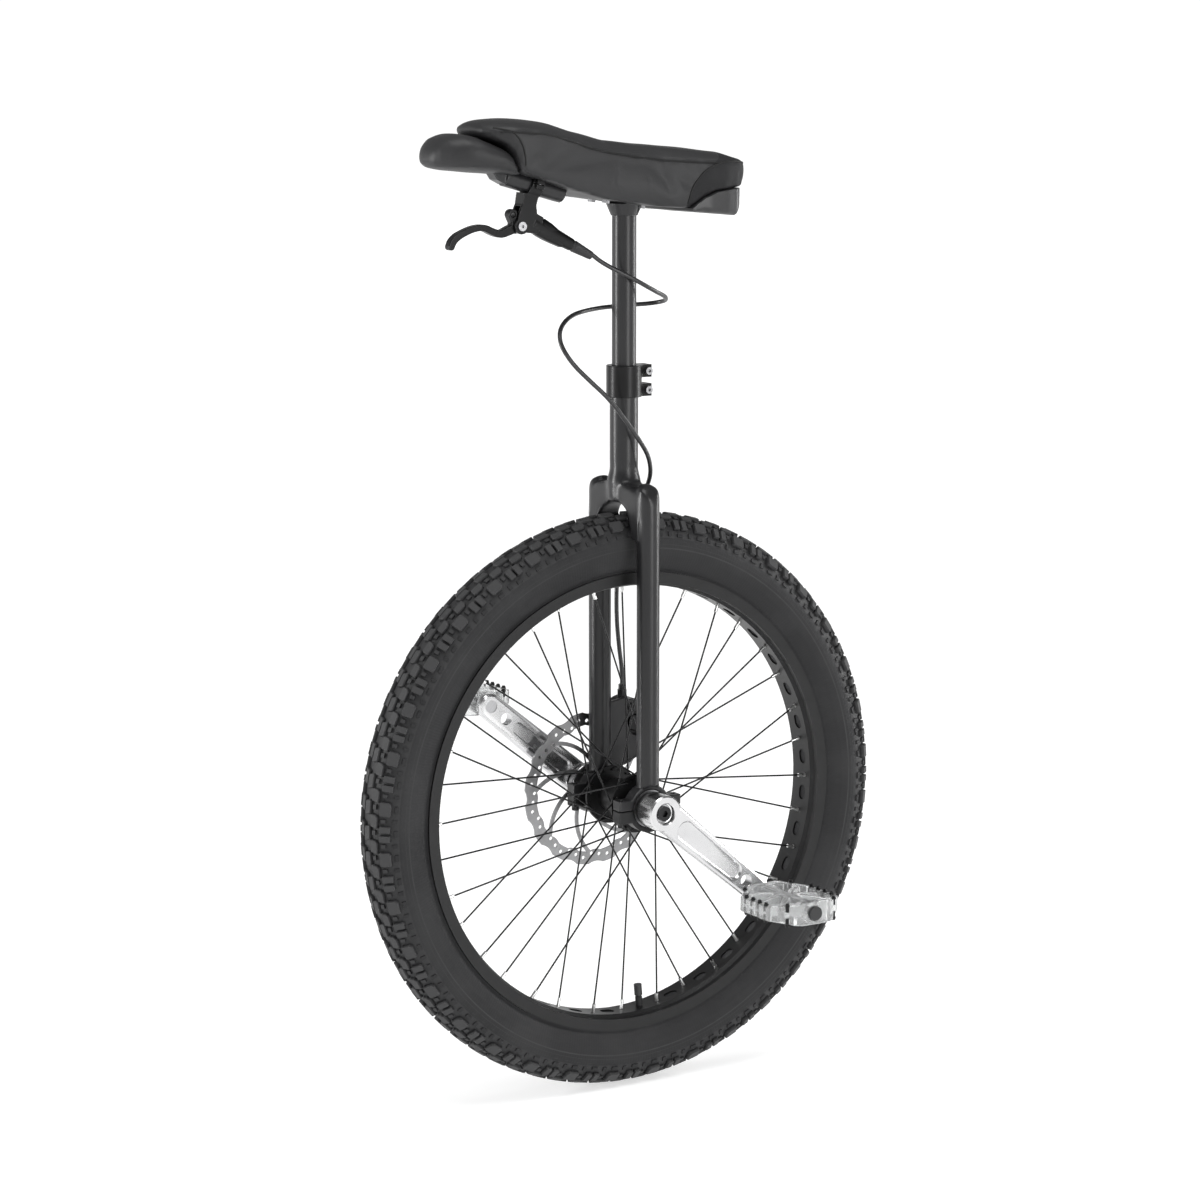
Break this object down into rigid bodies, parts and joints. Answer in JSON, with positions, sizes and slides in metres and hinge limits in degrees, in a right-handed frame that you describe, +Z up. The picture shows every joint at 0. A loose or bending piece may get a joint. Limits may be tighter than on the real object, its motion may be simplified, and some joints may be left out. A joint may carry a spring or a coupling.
{
  "type": "mountain unicycle",
  "caption": "Mountain unicycle with a wide knobbly tyre, fixed cranks, flat pedals, long saddle, straight-legged frame and hydraulic disc brake.",
  "frame": {"origin": "on the ground straight below the axle, midway between the two pedals", "axes": "+X forward towards the saddle's handle, +Y towards the rider's left, +Z up; the axle lies along Y"},
  "size_m": [0.6558, 0.4, 1.0898],
  "materials": {
    "frame_paint": "satin black powder coat",
    "black_alloy": "black anodised",
    "polished_alloy": "polished",
    "steel": "brushed",
    "black_steel": "black oxide",
    "nickel": "bright nickel plate",
    "tyre_rubber": "matt black rubber",
    "rubber": "matt",
    "saddle_cover": "soft matt synthetic leather",
    "saddle_plastic": "matt moulded",
    "black_plastic": "matt",
    "clear_plastic": "clear moulded",
    "ceramic": "glossy phenolic",
    "pad_lining": "sintered lining on a steel plate"
  },
  "bodies": {
    "frame": {"seat_tube": "frame_paint", "crown": "frame_paint", "left_leg": "frame_paint", "right_leg": "frame_paint", "bearing_housings": "frame_paint", "bearing_caps": "black_alloy", "bearing_cap_bolts": "black_steel", "outer_races": "steel", "bearing_seals": "rubber", "caliper_bracket": "frame_paint", "seat_clamp": "black_alloy", "seat_clamp_bolts": "black_steel", "caliper_body": "black_alloy", "caliper_bolts": "black_steel", "hose_fitting": "black_steel", "brake_hose": "rubber"},
    "ball_sets": {"bearing_balls": "steel"},
    "inner_pad_set": {"inner_brake_pad": "pad_lining", "inner_piston": "ceramic"},
    "outer_pad_set": {"outer_brake_pad": "pad_lining", "outer_piston": "ceramic"},
    "seat": {"seatpost": "black_alloy", "post_plate": "black_alloy", "saddle_bolts": "steel", "saddle_base": "black_plastic", "saddle_pad": "saddle_cover", "front_handle": "saddle_plastic", "rear_bumper": "saddle_plastic", "brake_bar": "black_alloy", "lever_clamp": "black_alloy", "lever_clamp_bolts": "nickel", "lever_body": "black_alloy", "pivot_pin": "nickel", "hose_boot": "rubber"},
    "brake_lever": {"lever_blade": "black_alloy"},
    "piston": {"master_piston": "steel"},
    "wheel": {"tyre": "tyre_rubber", "inner_tube": "rubber", "rim": "black_alloy", "rim_strip": "black_plastic", "valve_stem": "rubber", "valve_cap": "black_plastic", "spokes": "black_steel", "spoke_nipples": "nickel", "hub_shell": "black_alloy", "axle_spindle": "steel", "axle_spacers": "black_alloy", "inner_races": "steel", "left_crank": "polished_alloy", "right_crank": "polished_alloy", "crank_bolts": "black_steel", "brake_rotor": "steel", "rotor_bolts": "black_steel", "pedal_spindles": "steel"},
    "left_pedal": {"left_pedal_body": "clear_plastic", "left_pedal_pins": "black_steel", "left_pedal_cap": "black_plastic"},
    "right_pedal": {"right_pedal_body": "clear_plastic", "right_pedal_pins": "black_steel", "right_pedal_cap": "black_plastic"}
  },
  "joints": [
    {"name": "wheel_spin", "type": "hinge", "parent": "frame", "child": "wheel", "pos_m": [0, 0, 0.328], "axis": [0, 1, 0], "continuous": true},
    {"name": "ball_spin", "type": "hinge", "parent": "frame", "child": "ball_sets", "pos_m": [0, 0, 0.328], "axis": [0, 1, 0], "continuous": true},
    {"name": "left_pedal_spin", "type": "hinge", "parent": "wheel", "child": "left_pedal", "pos_m": [-0.12677, 0.147, 0.22238], "axis": [0, 1, 0], "continuous": true},
    {"name": "right_pedal_spin", "type": "hinge", "parent": "wheel", "child": "right_pedal", "pos_m": [0.12677, -0.147, 0.43362], "axis": [0, 1, 0], "continuous": true},
    {"name": "seat_height", "type": "slide", "parent": "frame", "child": "seat", "axis": [0, 0, 1], "range_m": [-0.04, 0.03], "deforming": ["brake_hose"]},
    {"name": "lever_squeeze", "type": "hinge", "parent": "seat", "child": "brake_lever", "pos_m": [0.142, 0.014, 0.9756], "axis": [0, -1, 0], "range_deg": [0, 22], "stiffness_Nm_per_rad": 0.6, "springref_deg": -5.73},
    {"name": "master_piston_slide", "type": "slide", "parent": "seat", "child": "piston", "axis": [-0.8957, 0, -0.4446], "range_m": [0, 0.004]},
    {"name": "inner_pad_slide", "type": "slide", "parent": "frame", "child": "inner_pad_set", "axis": [0, -1, 0], "range_m": [0, 0.0003]},
    {"name": "outer_pad_slide", "type": "slide", "parent": "frame", "child": "outer_pad_set", "axis": [0, 1, 0], "range_m": [0, 0.0003]}
  ],
  "couplings": [
    {"joint": "ball_spin", "follows": "wheel_spin", "ratio": 0.425},
    {"joint": "master_piston_slide", "follows": "lever_squeeze", "m_per_rad": 0.0094},
    {"joint": "inner_pad_slide", "follows": "lever_squeeze", "m_per_rad": 0.00075},
    {"joint": "outer_pad_slide", "follows": "lever_squeeze", "m_per_rad": 0.00075}
  ]
}
